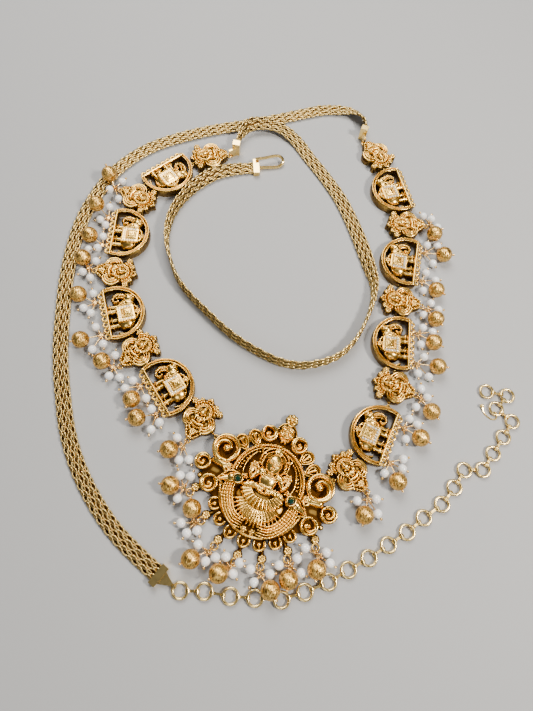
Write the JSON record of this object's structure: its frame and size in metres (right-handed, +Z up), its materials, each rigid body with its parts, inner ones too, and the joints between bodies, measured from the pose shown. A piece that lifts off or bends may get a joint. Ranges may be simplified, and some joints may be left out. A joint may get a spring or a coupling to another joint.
{
  "type": "oddiyanam waist belt",
  "caption": "Open oddiyanam waist belt in antique gold with figure plaques, pierced elephant links, a large figure pendant, gold bead and pearl drops, woven bands, a hook and a ring chain",
  "frame": {"origin": "Middle of the laid-out belt in plan, at the height of the surface it lies on", "axes": "+Y runs from the ring chain and pendant drops towards the crossing of the two woven bands, which is the long way of the laid-out belt. +Z is up, out of the faces of the castings. +X is towards the free end of the ring chain."},
  "size_m": [0.197, 0.2266, 0.0087],
  "materials": {
    "antique_gold": "polished, dark in the recesses",
    "pale_gold": "satin",
    "satin_gold": "satin, scratched",
    "pearl": "pearly",
    "green_stone": "cut and polished"
  },
  "bodies": {
    "root": {"pendant": "antique_gold", "eye_stone_left": "green_stone", "eye_stone_right": "green_stone", "plaque_left_1": "antique_gold", "plaque_left_2": "antique_gold", "plaque_left_3": "antique_gold", "plaque_left_4": "antique_gold", "plaque_left_5": "antique_gold", "plaque_right_1": "antique_gold", "plaque_right_2": "antique_gold", "plaque_right_3": "antique_gold", "plaque_right_4": "antique_gold", "plaque_right_5": "antique_gold", "elephant_left_1": "antique_gold", "elephant_left_2": "antique_gold", "elephant_left_3": "antique_gold", "elephant_left_4": "antique_gold", "elephant_right_1": "antique_gold", "elephant_right_2": "antique_gold", "elephant_right_3": "antique_gold", "elephant_right_4": "antique_gold", "band_long": "pale_gold", "band_hook": "pale_gold", "band_tags": "pale_gold", "hook": "pale_gold", "chain_rings": "pale_gold", "chain_links": "pale_gold", "end_pin": "pale_gold", "gold_beads_left": "satin_gold", "gold_beads_pendant": "satin_gold", "gold_beads_right": "satin_gold", "pearls_left": "pearl", "pearls_pendant": "pearl", "pearls_right": "pearl", "drop_wires_left": "antique_gold", "drop_wires_pendant": "antique_gold", "drop_wires_right": "antique_gold"}
  },
  "joints": []
}
